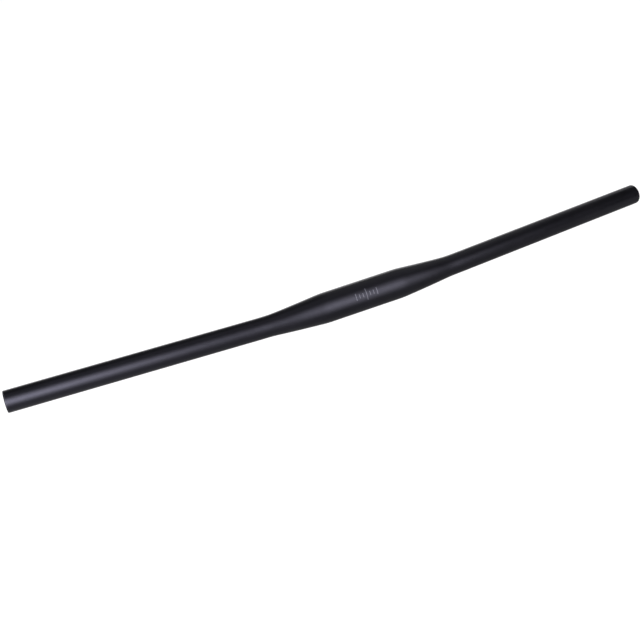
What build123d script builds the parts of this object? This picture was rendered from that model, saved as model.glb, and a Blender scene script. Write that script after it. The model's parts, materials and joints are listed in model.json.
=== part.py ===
from build123d import *
import os
from math import asin, ceil, cos, degrees, radians, sin

os.makedirs("parts", exist_ok=True)

# Flat handlebar for a bicycle, in millimetres: one length of aluminium tube, fat in the
# middle for the stem, swaged down to the grips, swept back a little and open at both ends.
# The origin is the middle of the stem clamp seat and X runs along the seat. The ends sweep
# to +Y. +Z is up, with the bar as it lies on a table: on the seat and on both ends.

# Seat of the stem clamp, of one diameter over its length
clamp_diameter = 31.8
clamp_wall = 2.4
clamp_seat_length = 76.0

# Grips
grip_diameter = 22.2
grip_wall = 2.0
# Width over the bar, between the centres of its two cut ends
bar_width = 740.0

# Taper from the seat to each grip, and the length of the round at its two corners
taper_length = 75.0
seat_blend = 13.0
grip_blend = 19.0

# Bend, with its start measured along the centreline from the middle of the bar
sweep_angle = 5.0
bend_start = 64.5
bend_length = 60.0

# Cut ends
rim_round = 0.8
mouth_chamfer = 0.5

# Longest step between two sections of the taper
section_step = 1.8

clamp_radius = clamp_diameter / 2
grip_radius = grip_diameter / 2
clamp_bore_radius = clamp_radius - clamp_wall
grip_bore_radius = grip_radius - grip_wall

seat_end = clamp_seat_length / 2
taper_end = seat_end + taper_length
bend_end = bend_start + bend_length
bend_radius = bend_length / radians(sweep_angle)

# The straight grip takes what the bend leaves of the half width
bend_reach = bend_radius * sin(radians(sweep_angle))
bend_setback = bend_radius * (1 - cos(radians(sweep_angle)))
grip_length = (bar_width / 2 - bend_start - bend_reach) / cos(radians(sweep_angle))
tip_distance = bend_end + grip_length

# Lying down, the bar has rolled about its seat until the grips touch what the seat lies on,
# each where the round of its rim starts. With too little sweep for that, its ends hang down
touch_setback = bend_setback + (grip_length - rim_round) * sin(radians(sweep_angle))
rest_roll = degrees(asin(min((clamp_radius - grip_radius) / touch_setback, 1)))
sweep_plane = Plane.XY.rotated((-rest_roll, 0, 0))

with BuildLine(sweep_plane) as centreline:
    middle = Line((0, 0), (bend_start, 0))
    bend = JernArc(middle @ 1, middle % 1, bend_radius, sweep_angle)
    grip = Line(bend @ 1, bend @ 1 + (bend % 1) * grip_length)
bar_axis = centreline.wire()


def square_to_bar(distance):
    """Plane across the bar, at a distance along the centreline from the middle."""
    place = bar_axis.position_at(distance, position_mode=PositionMode.LENGTH)
    heading = bar_axis.tangent_at(distance, position_mode=PositionMode.LENGTH)
    return Plane(origin=place, x_dir=sweep_plane.z_dir, z_dir=heading)


def ramp(past_corner, blend):
    """Zero before a corner and the distance past it after, eased over the length of the blend."""
    share = min(max(past_corner / blend + 1 / 2, 0), 1)
    eased = blend * (share**3 - share**4 / 2)
    return eased + max(past_corner - blend / 2, 0)


def tapered_radius(distance, seat_radius, end_radius):
    """Radius at a distance from the middle: seat, straight cone and grip, with eased corners."""
    cone_start = seat_end + seat_blend / 2
    cone_end = taper_end - grip_blend / 2
    slope = (seat_radius - end_radius) / (cone_end - cone_start)
    fall = ramp(distance - cone_start, seat_blend) - ramp(distance - cone_end, grip_blend)
    return seat_radius - slope * fall


# The stretch that is neither straight nor of one diameter, cut into even steps
shaped_start = min(seat_end, bend_start)
shaped_end = max(taper_end, bend_end)
section_count = ceil((shaped_end - shaped_start) / section_step) + 1
section_gap = (shaped_end - shaped_start) / (section_count - 1)

with BuildPart() as handlebar_tube:
    # Bent taper on the right side, through rings square to the bar
    for section in range(section_count):
        distance = shaped_start + section * section_gap
        with BuildSketch(square_to_bar(distance)):
            Circle(tapered_radius(distance, clamp_radius, grip_radius))
            Circle(tapered_radius(distance, clamp_bore_radius, grip_bore_radius), mode=Mode.SUBTRACT)
    loft()

    # Straight grip, with the outer edge of its cut end rounded and the bore's mouth chamfered
    with BuildSketch(square_to_bar(shaped_end)):
        Circle(grip_radius)
        Circle(grip_bore_radius, mode=Mode.SUBTRACT)
    extrude(amount=tip_distance - shaped_end)
    cut_end = faces().filter_by(GeomType.PLANE).sort_by(Axis.X)[-1]
    fillet(cut_end.edges().sort_by(SortBy.RADIUS)[-1], radius=rim_round)
    cut_end = faces().filter_by(GeomType.PLANE).sort_by(Axis.X)[-1]
    chamfer(cut_end.edges().sort_by(SortBy.RADIUS)[0], length=mouth_chamfer)

    # The left side mirrors the right, and the clamp seat joins the two
    mirror(about=Plane.YZ)
    with BuildSketch(square_to_bar(0).offset(-shaped_start)):
        Circle(clamp_radius)
        Circle(clamp_bore_radius, mode=Mode.SUBTRACT)
    extrude(amount=2 * shaped_start)

handlebar_tube.part.label = "handlebar_tube"
export_step(handlebar_tube.part, "parts/handlebar_tube.step")
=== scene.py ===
import json
import math
import bpy
import numpy as np
from mathutils import Matrix, Vector


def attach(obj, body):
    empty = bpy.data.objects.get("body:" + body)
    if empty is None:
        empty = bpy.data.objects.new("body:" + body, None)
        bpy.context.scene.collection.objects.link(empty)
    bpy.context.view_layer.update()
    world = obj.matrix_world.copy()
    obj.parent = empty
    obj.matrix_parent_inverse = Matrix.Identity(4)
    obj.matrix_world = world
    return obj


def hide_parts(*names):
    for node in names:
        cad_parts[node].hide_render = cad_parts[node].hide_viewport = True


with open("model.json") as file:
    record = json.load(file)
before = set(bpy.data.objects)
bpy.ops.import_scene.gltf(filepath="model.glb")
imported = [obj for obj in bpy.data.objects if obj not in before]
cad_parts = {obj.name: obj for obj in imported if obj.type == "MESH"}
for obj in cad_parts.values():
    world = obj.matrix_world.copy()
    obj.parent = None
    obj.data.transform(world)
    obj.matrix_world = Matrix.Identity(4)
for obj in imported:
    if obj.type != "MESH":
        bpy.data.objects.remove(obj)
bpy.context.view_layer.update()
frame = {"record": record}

# Flat handlebar, in metres, in the frame of its CAD model. The origin is the middle of the stem
# clamp seat, X runs along the seat, the ends sweep to +Y, and +Z is up from the table.

MM = 0.001
mounts = {mount["name"]: mount for mount in frame["record"]["mounts"]}


def mount_dim(name, dim):
    """A size of one of the record's mounts, in metres."""
    return mounts[name]["dims"][dim] * MM


# Sizes of the bar that the mounts state
SEAT_RADIUS = mount_dim("stem_clamp_seat", "r_mm")
SEAT_HALF = mount_dim("stem_clamp_seat", "length_mm") / 2
GRIP_RADIUS = mount_dim("right_grip_seat", "r_mm")
GRIP_SEAT_LENGTH = mount_dim("right_grip_seat", "length_mm")
GRIP_BORE_RADIUS = mount_dim("right_end_bore", "r_mm")

# Sizes of the bar that no mount states
CLAMP_WALL = 2.4 * MM
TAPER_LENGTH = 75.0 * MM
SEAT_BLEND = 13.0 * MM
GRIP_BLEND = 19.0 * MM
MOUTH_CHAMFER = 0.5 * MM

GRIP_LENGTH = mount_dim("right_end_bore", "length_mm") + MOUTH_CHAMFER
RIM_ROUND = GRIP_LENGTH - GRIP_SEAT_LENGTH
CLAMP_BORE_RADIUS = SEAT_RADIUS - CLAMP_WALL
FLOOR = -SEAT_RADIUS

# Sweep and bend, from where the right grip's mount lies and points
grip_place = np.array(mounts["right_grip_seat"]["pos_m"])
grip_axis = np.array(mounts["right_grip_seat"]["axis"])
SWEEP = math.acos(grip_axis[0])
RIGHT = np.array([1.0, 0.0, 0.0])
BACK = np.array([0.0, grip_axis[1], grip_axis[2]]) / math.sin(SWEEP)
NORMAL = np.cross(RIGHT, BACK)
bend_exit = grip_place - grip_axis * GRIP_SEAT_LENGTH / 2
BEND_RADIUS = np.dot(bend_exit, BACK) / (1 - math.cos(SWEEP))
BEND_START = bend_exit[0] - BEND_RADIUS * math.sin(SWEEP)
BEND_END = BEND_START + BEND_RADIUS * SWEEP
TIP = BEND_END + GRIP_LENGTH

# Fineness of the meshes
AROUND = 144
SEAT_STEPS = 6
SHAPED_STEPS = 60
GRIP_STEPS = 30
RIM_STEPS = 10
GUARD_GAP = 0.3 * MM
SHARP_ANGLE = math.radians(35)

# Scale printed across the clamp seat, to centre the bar in the stem
TICK_COUNT = 7
TICK_PITCH = 4.0 * MM
TICK_WIDTH = 0.9 * MM
TICK_LENGTHS = (12.5 * MM, 4.6 * MM, 4.6 * MM, 7.6 * MM)
TICK_RISE = 0.03 * MM
TICK_ANGLE = math.radians(41)
TICK_ROWS = 24
TICK_COLUMNS = 16
TICK_POWER = 0.22

# Lumps of the finishes: clouds in the dye, patches in the gloss and in the ink, the pits that
# blasting leaves, and the shallow waves under them. Each has its size and its octaves of detail
DYE_CLOUD = (35.0 * MM, 3.0)
GLOSS_PATCH = (4.0 * MM, 3.0)
INK_PATCH = (2.0 * MM, 3.0)
BLAST_PIT = (0.35 * MM, 2.0)
SHALLOW_WAVE = (1.6 * MM, 1.0)

# Bumps of the finishes, each with its strength and its depth
PIT_BUMP = (0.5, 0.02 * MM)
WAVE_BUMP = (0.35, 0.03 * MM)
INK_BUMP = (0.4, 0.015 * MM)

# Changes of the dye and the ink with their lumps, and with the marks of the rims and the bore.
# Each goes from one value of the lump or mark to another, and from one amount to another
DYE_CLOUDING = (0.35, 0.65, 0.0, 1.0)
DYE_SPECKING = (0.62, 0.74, 0.0, 0.35)
# Patches of the painted highlight on the line just before each rim's round
GLINT_PATCHING = (0.35, 0.6, 0.45, 1.0)
DYE_ROUGHNESS = (0.3, 0.7, 0.28, 0.32)
RIM_SMOOTHING = (0.0, 1.0, 1.0, 0.8)
RIM_DULLING = (0.0, 1.0, 0.5, 0.15)
BORE_ROUGHENING = (0.0, 1.0, 0.0, 0.12)
INK_PITTING = (0.45, 0.7, 0.0, 0.6)
INK_WEARING = (0.4, 0.65, 0.0, 0.35)
INK_ROUGHNESS = (0.3, 0.7, 0.36, 0.46)

# Colours of the finishes, as linear red, green and blue, and alpha
DEEP_DYE = (0.0024, 0.0024, 0.0029, 1.0)
PALE_DYE = (0.0040, 0.0039, 0.0047, 1.0)
DYE_SPECK = (0.0100, 0.0099, 0.0116, 1.0)
# Painted shade: a slightly darker dye on the rounds of the rims, for the dark edge they show
RIM_PAINTED_SHADE = (0.0022, 0.0022, 0.0026, 1.0)
# Painted highlight: a light line of colour just before each rim's round, for the glint of its edge
PAINTED_EDGE_GLINT = (0.055, 0.054, 0.061, 1.0)
DYE_SHEEN = (0.80, 0.78, 1.0, 1.0)
FULL_INK = (0.098, 0.096, 0.110, 1.0)
PITTED_INK = (0.055, 0.053, 0.062, 1.0)
WORN_INK = (0.072, 0.070, 0.081, 1.0)
INK_SHEEN = (0.82, 0.80, 1.0, 1.0)

# Studio sweep: a floor, the curve at its edge and the wall above that, the clouds in its white
# as size and octaves of detail, their two tones, and the glow of the light from behind
SWEEP_FLOOR = 5.0
SWEEP_CURVE = 1.5
SWEEP_WALL = 4.0
SWEEP_STEPS = 12
SWEEP_AROUND = 96
SWEEP_CLOUD = (0.4, 2.0)
SWEEP_TONES = ((0.24, 0.24, 0.24, 1.0), (0.26, 0.26, 0.26, 1.0))
SWEEP_GLOW = 0.93

# Softboxes: which side of the bar they stand on, their distance from it and their tints
BEFORE = -1
BEHIND = 1
LIGHT_DISTANCE = 1.25
WHITE_LIGHT = (1.0, 1.0, 1.0)
COOL_LIGHT = (0.92, 0.955, 1.15)

# Banks before the bar: the elevations that their strips span, the brightest one and how fast
# they dim away from it, in degrees
BANK_LOW = -8.0
BANK_HIGH = 88.0
BANK_STRIPS = 8
BANK_CENTRE = 35.0
BANK_SPREAD = 29.0

# Strips behind the bar: the elevations at which one ends and the next starts, in degrees
BACK_FOOT = 0.0
BACK_SILL = 12.0
BACK_MIDDLE = 35.0
BACK_BROW = 60.0
BACK_TOP = 88.0

# Softboxes past the ends of the bar
END_DISTANCE = 2.3
END_RISE = 0.35
END_WIDTH = 1.2
END_HEIGHT = 1.0
END_RADIANCE = 1.2

# Surroundings. A span is a range of the heading's X or Y, over which a glow comes in or changes
DARK_ABOVE = 0.025
HORIZON_BLUR = 0.06
GLOW_LEFT = 0.60
GLOW_RIGHT = 0.23
GLOW_BEHIND = 0.8
GLOW_PAST_ENDS = 1.4
SIDE_SPAN = (-0.35, 0.35)
BEHIND_SPAN = (0.4, 0.9)
PAST_ENDS_SPAN = (0.75, 0.95)

# Camera, turned about its line of sight by the roll
CAMERA_PLACE = Vector((-0.356055, -0.736111, 0.640159))
CAMERA_AIM = Vector((-0.055484, -0.015255, 0.0))
CAMERA_ROLL = math.radians(3.904)
CAMERA_LENS = 55.765
CAMERA_SENSOR = 36.0
CAMERA_NEAR = 0.01
CAMERA_FAR = 100.0

# Sockets of the node that mixes two colours
MIX_SHARE = 0
MIX_FIRST = 6
MIX_SECOND = 7
MIX_COLOUR = 2


def centreline(distance):
    """Points of the bar's centreline, and directions square to it in the plane of the sweep.

    The distance is signed and measured along the line from the middle. Up to the bend the line
    runs along X. In the bend it has turned by the distance past its start over the radius, has
    gone on by radius times the sine of the turn, and has set back by radius times one minus its
    cosine. Past the bend it goes straight on at the sweep angle. The left mirrors the right.
    """
    side = np.sign(distance)
    out = np.abs(distance)
    turn = np.clip((out - BEND_START) / BEND_RADIUS, 0.0, SWEEP)
    straight = np.maximum(out - BEND_END, 0.0)
    reach = np.minimum(out, BEND_START) + BEND_RADIUS * np.sin(turn) + straight * np.cos(SWEEP)
    setback = BEND_RADIUS * (1.0 - np.cos(turn)) + straight * np.sin(SWEEP)
    place = np.outer(side * reach, RIGHT) + np.outer(setback, BACK)
    across = np.outer(np.cos(turn), BACK) - np.outer(side * np.sin(turn), RIGHT)
    return place, across


def eased_ramp(past, blend):
    """Zero before a corner and the distance past it after, eased over the length of the blend.

    Over the blend the slope rises as 3 t squared less 2 t cubed, so the height is the blend
    times t cubed less half of t to the fourth, where t goes from 0 to 1 across the blend.
    """
    share = np.clip(past / blend + 0.5, 0.0, 1.0)
    return blend * (share**3 - share**4 / 2) + np.maximum(past - blend / 2, 0.0)


def tapered_radius(distance, seat_radius, end_radius):
    """Radius along the bar: the seat's, less the cone's slope times the ramp at the cone's start
    and plus it at the cone's end, so that it stays at the end radius from there on.
    """
    cone_start = SEAT_HALF + SEAT_BLEND / 2
    cone_end = SEAT_HALF + TAPER_LENGTH - GRIP_BLEND / 2
    slope = (seat_radius - end_radius) / (cone_end - cone_start)
    out = np.abs(distance)
    fall = eased_ramp(out - cone_start, SEAT_BLEND) - eased_ramp(out - cone_end, GRIP_BLEND)
    return seat_radius - slope * fall


def wall_stations(end):
    """Distances along the bar from its left end to its right: few on the seat and the grips, and
    close together over the taper and the bend. The last three at each end are a guard gap apart.
    """
    seat = np.linspace(0.0, SEAT_HALF, SEAT_STEPS + 1)
    shaped = np.linspace(SEAT_HALF, BEND_END, SHAPED_STEPS + 1)[1:]
    grip = np.linspace(BEND_END, end - 2 * GUARD_GAP, GRIP_STEPS + 1)[1:]
    half = np.concatenate([seat, shaped, grip, [end - GUARD_GAP, end]])
    return np.concatenate([-half[:0:-1], half])


def wall_outline():
    """The cut wall's outline, as distances along the bar and radii, in one closed loop.

    It goes right along the outside, in over the rim by a quarter circle, down the cut face and
    the mouth's chamfer, back left along the bore, and out again the same way at the left.
    The other results are marks for the finish, from 0 to 1: the rims' rounds, the bore, and the
    line of painted highlight, which is full at the station just before each round and none on its
    neighbours.
    """
    outside = wall_stations(TIP - RIM_ROUND)
    bore = wall_stations(TIP - MOUTH_CHAMFER)[::-1]
    turn = np.linspace(0.0, np.pi / 2, RIM_STEPS + 1)[1:]
    rim_distance = TIP - RIM_ROUND + RIM_ROUND * np.sin(turn)
    rim_radius = GRIP_RADIUS - RIM_ROUND * (1.0 - np.cos(turn))
    mouth = GRIP_BORE_RADIUS + MOUTH_CHAMFER
    distance = np.concatenate(
        [outside, rim_distance, [TIP], bore, [-TIP], -rim_distance[::-1]]
    )
    radius = np.concatenate(
        [
            tapered_radius(outside, SEAT_RADIUS, GRIP_RADIUS),
            rim_radius,
            [mouth],
            tapered_radius(bore, CLAMP_BORE_RADIUS, GRIP_BORE_RADIUS),
            [mouth],
            rim_radius[::-1],
        ]
    )
    rim = np.zeros(len(distance))
    rim[len(outside) : len(outside) + RIM_STEPS - 1] = 1.0
    rim[-RIM_STEPS + 1 :] = 1.0
    hollow = np.zeros(len(distance))
    first_inside = len(outside) + RIM_STEPS + 1
    hollow[first_inside : first_inside + len(bore)] = 1.0
    # Mark of the painted highlight line, full at the station just before each round
    painted_glint = np.zeros(len(distance))
    painted_glint[[1, len(outside) - 2]] = 1.0
    return distance, radius, {"rim": rim, "hollow": hollow, "painted_glint": painted_glint}


def grid_quads(rows, columns, wrap_rows):
    """Corner indices of the quads of a grid whose columns close on themselves.

    Each quad runs from column to next column and then to the next row.
    """
    row = np.arange(rows if wrap_rows else rows - 1)[:, None]
    column = np.arange(columns)[None, :]
    next_row = (row + 1) % rows
    next_column = (column + 1) % columns
    corners = [
        row * columns + column,
        row * columns + next_column,
        next_row * columns + next_column,
        next_row * columns + column,
    ]
    return np.stack(corners, -1).reshape(-1, 4)


def smooth_object(name, points, faces, material):
    """A smooth mesh object at the origin, with its material."""
    mesh = bpy.data.meshes.new(name)
    mesh.from_pydata(points.tolist(), [], faces)
    mesh.polygons.foreach_set("use_smooth", np.ones(len(mesh.polygons), dtype=bool))
    mesh.materials.append(material)
    made = bpy.data.objects.new(name, mesh)
    bpy.context.scene.collection.objects.link(made)
    return made


def new_piece(name, points, faces, material):
    """A smooth object that keeps its sharp edges and rides on the bar, with its finish's slot."""
    piece = smooth_object(name, points, faces, material)
    piece.data.set_sharp_from_angle(angle=SHARP_ANGLE)
    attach(piece, "root")
    return piece


def make_tube(material):
    """The drawn tube: its wall's outline, carried round the bent centreline.

    A point stands off the centreline by its radius times the cosine of the angle round the bar
    along the across direction, and by its radius times the sine along the sweep plane's normal.
    """
    distance, radius, marks = wall_outline()
    place, across = centreline(distance)
    angle = np.linspace(0.0, 2 * np.pi, AROUND, endpoint=False)
    spoke = (
        np.cos(angle)[None, :, None] * across[:, None, :]
        + np.sin(angle)[None, :, None] * NORMAL
    )
    points = place[:, None, :] + radius[:, None, None] * spoke
    quads = grid_quads(len(distance), AROUND, wrap_rows=True)
    points = points.reshape(-1, 3)
    tube = new_piece("drawn_tube", points, quads.tolist(), material)
    for name, mark in marks.items():
        attribute = tube.data.attributes.new(name, "FLOAT", "POINT")
        attribute.data.foreach_set("value", np.repeat(mark, AROUND))
    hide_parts("handlebar_tube")


def signed_power(value, power):
    """The size of a value raised to a power, with the value's own sign."""
    return np.sign(value) * np.abs(value) ** power


def round_seat(x, turn, radius):
    """Points at a place along X, at an angle up from the front round the seat's axis, and at a
    radius from it: Y is less the radius times the cosine, and Z the radius times the sine.
    """
    y = -radius * np.cos(turn)
    z = radius * np.sin(turn)
    return np.stack(np.broadcast_arrays(x, y, z), -1)


def capped_faces(rows, columns, count):
    """Faces of a number of like shells, each a grid of rings that closes at a pole at both ends.

    A shell's points are its rings in order, its start pole and its end pole. The faces of each
    shell are those of the first, shifted by the number of points of the shells before it.
    """
    shell = rows * columns + 2
    last = (rows - 1) * columns
    column = np.arange(columns)
    next_column = (column + 1) % columns
    start_fan = np.stack([next_column, column, np.full(columns, shell - 2)], -1)
    end_fan = np.stack([last + column, last + next_column, np.full(columns, shell - 1)], -1)
    shift = (np.arange(count) * shell)[:, None, None]
    quads = grid_quads(rows, columns, wrap_rows=False) + shift
    fans = np.concatenate([start_fan, end_fan]) + shift
    return quads.reshape(-1, 4).tolist() + fans.reshape(-1, 3).tolist()


def make_scale(material):
    """Printed ticks, the longest on the bar's middle, as thin pillows laid round the seat.

    Each is a flattened superellipsoid. With v running along the tick, its length goes as sin v,
    and it narrows as one less the length's share raised to two over a small power, raised in
    turn to half of that power. With u running round it, its width goes as cos u and its height
    as sin u, each raised to the small power, which squares it up. The length is then wrapped
    round the seat, as an angle of length over radius, and the height is added to its radius.
    """
    order = np.arange(TICK_COUNT) - TICK_COUNT // 2
    middle = order * TICK_PITCH
    half_length = np.array(TICK_LENGTHS)[np.abs(order)] / 2
    v = np.linspace(-np.pi / 2, np.pi / 2, TICK_ROWS + 1)[1:-1]
    u = np.linspace(0.0, 2 * np.pi, TICK_COLUMNS, endpoint=False)
    share = np.sin(v)[:, None]
    narrow = (1.0 - np.abs(share) ** (2 / TICK_POWER)) ** (TICK_POWER / 2)
    wide = TICK_WIDTH / 2 * narrow * signed_power(np.cos(u), TICK_POWER)
    rise = -TICK_RISE * narrow * signed_power(np.sin(u), TICK_POWER)
    x = middle[:, None, None] + wide
    turn = TICK_ANGLE + half_length[:, None, None] * share / SEAT_RADIUS
    rings = round_seat(x, turn, SEAT_RADIUS + rise)
    pole_turn = TICK_ANGLE + np.outer(half_length, [-1.0, 1.0]) / SEAT_RADIUS
    poles = round_seat(middle[:, None], pole_turn, SEAT_RADIUS)
    points = np.concatenate([rings.reshape(TICK_COUNT, -1, 3), poles], axis=1).reshape(-1, 3)
    faces = capped_faces(len(v), TICK_COLUMNS, TICK_COUNT)
    new_piece("centre_scale", points, faces, material)


def new_node(tree, kind, inputs=(), **settings):
    """A node with its settings, and its inputs set to values or joined to other outputs."""
    made = tree.nodes.new(kind)
    for name, value in settings.items():
        setattr(made, name, value)
    for name, value in dict(inputs).items():
        if isinstance(value, bpy.types.NodeSocket):
            tree.links.new(value, made.inputs[name])
        else:
            made.inputs[name].default_value = value
    return made


def new_material(name):
    """An empty node material, with the node tree to fill."""
    material = bpy.data.materials.new(name)
    material.use_nodes = True
    material.node_tree.nodes.clear()
    return material, material.node_tree


def own_place(tree):
    """Where a point lies on its piece, in metres."""
    return new_node(tree, "ShaderNodeTexCoord").outputs["Object"]


def own_mark(tree, name):
    """One of the marks that the points of a piece carry, from 0 to 1."""
    return new_node(tree, "ShaderNodeAttribute", attribute_name=name).outputs["Fac"]


def mottle(tree, where, lump):
    """Noise with lumps of about a size in metres and octaves of finer ones on them, from 0 to 1."""
    size, detail = lump
    inputs = {"Vector": where, "Scale": 1.0 / size, "Detail": detail, "Roughness": 0.5}
    return new_node(tree, "ShaderNodeTexNoise", inputs).outputs["Fac"]


def arithmetic(tree, operation, *values):
    """What an operation makes of its values, each a number or another node's output."""
    made = new_node(tree, "ShaderNodeMath", dict(enumerate(values)), operation=operation)
    return made.outputs[0]


def remap(tree, value, low, high, new_low, new_high):
    """A value's range from low to high, mapped onto another range and held to it.

    Each end of the new range is a number or another node's output.
    """
    made = new_node(
        tree,
        "ShaderNodeMapRange",
        {
            "Value": value,
            "From Min": low,
            "From Max": high,
            "To Min": new_low,
            "To Max": new_high,
        },
    )
    return made.outputs["Result"]


def blend_colour(tree, share, first, second):
    """A mix of two colours, each a value or another node's output."""
    inputs = {MIX_SHARE: share, MIX_FIRST: first, MIX_SECOND: second}
    return new_node(tree, "ShaderNodeMix", inputs, data_type="RGBA").outputs[MIX_COLOUR]


def bump(tree, height, strength, depth, **under):
    """A bump of that strength and depth in metres, on its own or on the normal of another."""
    inputs = {"Height": height, "Strength": strength, "Distance": depth, **under}
    return new_node(tree, "ShaderNodeBump", inputs).outputs["Normal"]


def cover(tree, inputs):
    """A surface shader with those inputs, as the material's surface."""
    shader = new_node(tree, "ShaderNodeBsdfPrincipled", inputs)
    new_node(tree, "ShaderNodeOutputMaterial", {"Surface": shader.outputs["BSDF"]})


def anodise_dye(tree, cloud, pits, patch, rim):
    """The dye's colour: clouded, specked at the blasting pits, darkened on the rounds of the rims
    as painted shade, and lighter in patches on the line beside them as a painted highlight.
    """
    dye = blend_colour(tree, remap(tree, cloud, *DYE_CLOUDING), DEEP_DYE, PALE_DYE)
    dye = blend_colour(tree, remap(tree, pits, *DYE_SPECKING), dye, DYE_SPECK)
    # Painted shade: the rounds of the rims darkened
    dye = blend_colour(tree, rim, dye, RIM_PAINTED_SHADE)
    # Painted highlight: a lighter line in patches just before each rim's round
    glint_patches = remap(tree, patch, *GLINT_PATCHING)
    painted_glint = arithmetic(tree, "MULTIPLY", own_mark(tree, "painted_glint"), glint_patches)
    return blend_colour(tree, painted_glint, dye, PAINTED_EDGE_GLINT)


def anodise_roughness(tree, patch, rim):
    """How matte the dye is: patchy, smoother on the rounds of the rims and rougher in the bore."""
    matte = remap(tree, patch, *DYE_ROUGHNESS)
    outside = arithmetic(tree, "MULTIPLY", matte, remap(tree, rim, *RIM_SMOOTHING))
    inside = remap(tree, own_mark(tree, "hollow"), *BORE_ROUGHENING)
    return arithmetic(tree, "ADD", outside, inside)


def black_anodise():
    """Black anodised aluminium with a fine blasted grain.

    The dye clouds slightly over a few centimetres, the gloss is mottled over a few millimetres,
    and the grain is two bumps, one of blasting pits and one of shallow waves under them. The
    rounds of the rims gleam less than the rest and are darkened as painted shade, and a line of
    painted highlight runs in patches just before them.
    """
    material, tree = new_material("black_anodise")
    where = own_place(tree)
    rim = own_mark(tree, "rim")
    cloud = mottle(tree, where, DYE_CLOUD)
    patch = mottle(tree, where, GLOSS_PATCH)
    pits = mottle(tree, where, BLAST_PIT)
    waves = bump(tree, mottle(tree, where, SHALLOW_WAVE), *WAVE_BUMP)
    inputs = {
        "Base Color": anodise_dye(tree, cloud, pits, patch, rim),
        "Roughness": anodise_roughness(tree, patch, rim),
        "Metallic": 0.0,
        "IOR": 1.5,
        "Specular IOR Level": remap(tree, rim, *RIM_DULLING),
        "Specular Tint": DYE_SHEEN,
        "Normal": bump(tree, pits, *PIT_BUMP, Normal=waves),
    }
    cover(tree, inputs)
    return material


def grey_print():
    """Thin grey ink over the blasted grain: patchy where the pits show through, and satin."""
    material, tree = new_material("grey_print")
    where = own_place(tree)
    pits = mottle(tree, where, BLAST_PIT)
    patch = mottle(tree, where, INK_PATCH)
    ink = blend_colour(tree, remap(tree, pits, *INK_PITTING), FULL_INK, PITTED_INK)
    ink = blend_colour(tree, remap(tree, patch, *INK_WEARING), ink, WORN_INK)
    inputs = {
        "Base Color": ink,
        "Roughness": remap(tree, patch, *INK_ROUGHNESS),
        "Specular IOR Level": 0.55,
        "Specular Tint": INK_SHEEN,
        "Normal": bump(tree, pits, *INK_BUMP),
    }
    cover(tree, inputs)
    return material


def white_sweep():
    """The studio sweep's matte white, lit through from behind so that shadows on it stay faint."""
    material, tree = new_material("white_sweep")
    cloud = mottle(tree, own_place(tree), SWEEP_CLOUD)
    inputs = {
        "Base Color": blend_colour(tree, cloud, *SWEEP_TONES),
        "Roughness": 0.95,
        "Specular IOR Level": 0.1,
        "Emission Color": (1.0, 1.0, 1.0, 1.0),
        "Emission Strength": SWEEP_GLOW,
    }
    cover(tree, inputs)
    return material


def make_sweep():
    """The white sweep that the bar lies on: a round floor that curves up into a wall.

    It is a profile turned about the Z axis: flat out to the floor's radius, then a quarter
    circle up, and then a wall. The bar takes its light from the softboxes and the surroundings
    alone, so the sweep is hidden from its reflections.
    """
    turn = np.linspace(0.0, np.pi / 2, SWEEP_STEPS + 1)
    curve_reach = SWEEP_FLOOR + SWEEP_CURVE * np.sin(turn)
    curve_rise = SWEEP_CURVE * (1.0 - np.cos(turn))
    reach = np.concatenate([[SWEEP_FLOOR / 2], curve_reach, curve_reach[-1:]])
    height = FLOOR + np.concatenate([[0.0], curve_rise, [SWEEP_WALL]])
    angle = np.linspace(0.0, 2 * np.pi, SWEEP_AROUND, endpoint=False)
    rings = np.stack(
        [
            np.outer(reach, np.cos(angle)),
            np.outer(reach, np.sin(angle)),
            np.outer(height, np.ones(SWEEP_AROUND)),
        ],
        -1,
    ).reshape(-1, 3)
    points = np.concatenate([rings, [[0.0, 0.0, FLOOR]]])
    column = np.arange(SWEEP_AROUND)
    middle = np.full(SWEEP_AROUND, len(rings))
    fan = np.stack([middle, column, (column + 1) % SWEEP_AROUND], -1)
    quads = grid_quads(len(reach), SWEEP_AROUND, wrap_rows=False)[:, ::-1]
    faces = quads.tolist() + fan.tolist()
    sweep = smooth_object("studio_sweep", points, faces, white_sweep())
    sweep.visible_glossy = False
    sweep.visible_diffuse = False


def softbox(name, place, aim, width, height, radiance, tint=WHITE_LIGHT):
    """A rectangular area light that faces its aim and doesn't show in the picture itself. Its
    power is the radiance times pi times its area.
    """
    light = bpy.data.lights.new(name, "AREA")
    light.color = tint
    light.shape = "RECTANGLE"
    light.size = width
    light.size_y = height
    light.energy = radiance * math.pi * width * height
    lamp = bpy.data.objects.new(name, light)
    lamp.location = place
    facing = Vector(aim) - Vector(place)
    lamp.rotation_euler = facing.to_track_quat("-Z", "Y").to_euler()
    lamp.visible_camera = False
    bpy.context.scene.collection.objects.link(lamp)


def strip(name, left, right, low, high, side, radiance, tint=WHITE_LIGHT):
    """A softbox over a span of the bar's length and a span of elevation in degrees, square to the
    line to the bar at the lights' distance. Its height is twice that distance times the tangent
    of half the span.
    """
    middle = math.radians((low + high) / 2)
    height = 2 * LIGHT_DISTANCE * math.tan(math.radians(high - low) / 2)
    along = (left + right) / 2
    across = side * LIGHT_DISTANCE * math.cos(middle)
    up = FLOOR + LIGHT_DISTANCE * math.sin(middle)
    aim = (along, 0.0, 0.0)
    softbox(name, (along, across, up), aim, right - left, height, radiance, tint)


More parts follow.
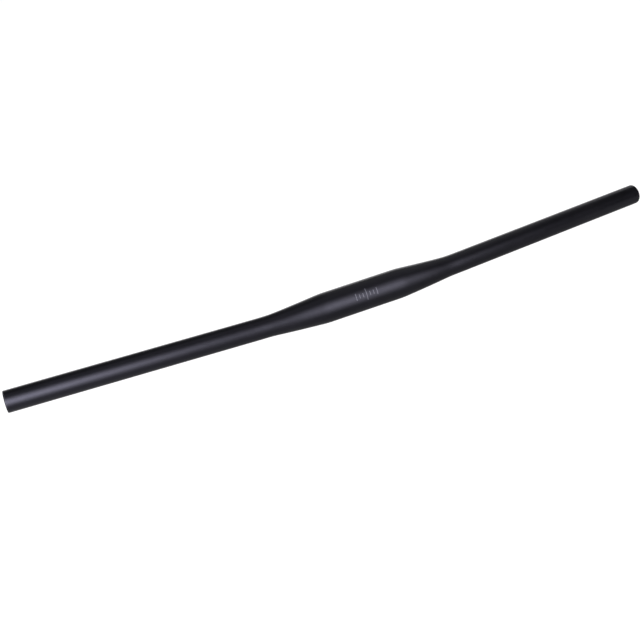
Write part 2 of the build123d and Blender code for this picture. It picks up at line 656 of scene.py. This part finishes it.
def bank(name, left, right, peak, tint=WHITE_LIGHT):
    """A tall softbox before the bar, brightest at one elevation, made of level strips.

    The radiance falls off from its peak as e to the minus of the square of the elevation from
    the brightest one over the spread.
    """
    edges = np.linspace(BANK_LOW, BANK_HIGH, BANK_STRIPS + 1)
    for index, (low, high) in enumerate(zip(edges[:-1], edges[1:])):
        offset = ((low + high) / 2 - BANK_CENTRE) / BANK_SPREAD
        radiance = peak * math.exp(-(offset**2))
        strip(f"{name}_{index}", left, right, low, high, BEFORE, radiance, tint)


def end_softbox(name, side):
    """A dim softbox past one end of the bar, which shows its cut face."""
    place = (side * END_DISTANCE, 0.0, END_RISE)
    softbox(name, place, (0.0, 0.0, 0.0), END_WIDTH, END_HEIGHT, END_RADIANCE)


def studio_light():
    """A wide bright bank before the left half of the bar and a dimmer one before the right half,
    each dimmer at its right edge, and faint strips behind that draw a line along the top.

    A bank is given by its left and right edges in metres and its radiance at the peak, and a
    strip by its edges, its lowest and highest elevation, its side and its radiance.
    """
    bank("front_far_left", -1.90, -0.85, 8.5, COOL_LIGHT)
    bank("front_left", -0.85, -0.40, 6.7)
    bank("front_left_edge", -0.40, -0.18, 3.4)
    bank("front_right", 0.08, 0.58, 4.3)
    bank("front_right_edge", 0.58, 0.95, 2.2)
    end_softbox("past_left", -1)
    end_softbox("past_right", 1)
    strip("back_low", 0.30, 1.10, BACK_FOOT, BACK_SILL, BEHIND, 0.71)
    strip("back_middle", -0.70, 1.10, BACK_SILL, BACK_MIDDLE, BEHIND, 0.17)
    strip("back_right", 1.10, 2.10, BACK_SILL, BACK_MIDDLE, BEHIND, 0.82)
    strip("back_high", 0.30, 1.10, BACK_MIDDLE, BACK_BROW, BEHIND, 0.32)
    strip("back_top", -0.70, 1.10, BACK_BROW, BACK_TOP, BEHIND, 0.26)


def studio_world():
    """Surroundings that the bar sees past the sweep: dark above the horizon and grey below it,
    lighter there to the left, under the bright bank, and lightest behind and past both ends.
    """
    world = bpy.data.worlds.new("studio_world")
    world.use_nodes = True
    tree = world.node_tree
    tree.nodes.clear()
    heading = new_node(tree, "ShaderNodeTexCoord").outputs["Generated"]
    parts = new_node(tree, "ShaderNodeSeparateXYZ", {"Vector": heading}).outputs
    below = remap(tree, parts["X"], *SIDE_SPAN, GLOW_LEFT, GLOW_RIGHT)
    behind = remap(tree, parts["Y"], *BEHIND_SPAN, 0.0, GLOW_BEHIND)
    along = arithmetic(tree, "ABSOLUTE", parts["X"])
    past_ends = remap(tree, along, *PAST_ENDS_SPAN, 0.0, GLOW_PAST_ENDS)
    glow = arithmetic(tree, "ADD", below, behind)
    glow = arithmetic(tree, "ADD", glow, past_ends)
    tone = remap(tree, parts["Z"], -HORIZON_BLUR, HORIZON_BLUR, glow, DARK_ABOVE)
    light = new_node(tree, "ShaderNodeBackground", {"Color": tone, "Strength": 1.0})
    new_node(tree, "ShaderNodeOutputWorld", {"Surface": light.outputs["Background"]})
    bpy.context.scene.world = world


def place_camera():
    """The camera looks from its place to its aim, rolled about that line from level."""
    forward = (CAMERA_AIM - CAMERA_PLACE).normalized()
    level_right = forward.cross(Vector((0.0, 0.0, 1.0))).normalized()
    level_up = level_right.cross(forward)
    up = level_up * math.cos(CAMERA_ROLL) + level_right * math.sin(CAMERA_ROLL)
    right = forward.cross(up)
    turned = Matrix((right, up, -forward)).transposed()
    data = bpy.data.cameras.new("camera")
    data.lens = CAMERA_LENS
    data.sensor_width = CAMERA_SENSOR
    data.clip_start = CAMERA_NEAR
    data.clip_end = CAMERA_FAR
    camera = bpy.data.objects.new("camera", data)
    camera.matrix_world = Matrix.Translation(CAMERA_PLACE) @ turned.to_4x4()
    bpy.context.scene.collection.objects.link(camera)
    bpy.context.scene.camera = camera


make_tube(black_anodise())
make_scale(grey_print())
make_sweep()
studio_light()
studio_world()
place_camera()
bpy.context.scene.view_settings.view_transform = "Standard"
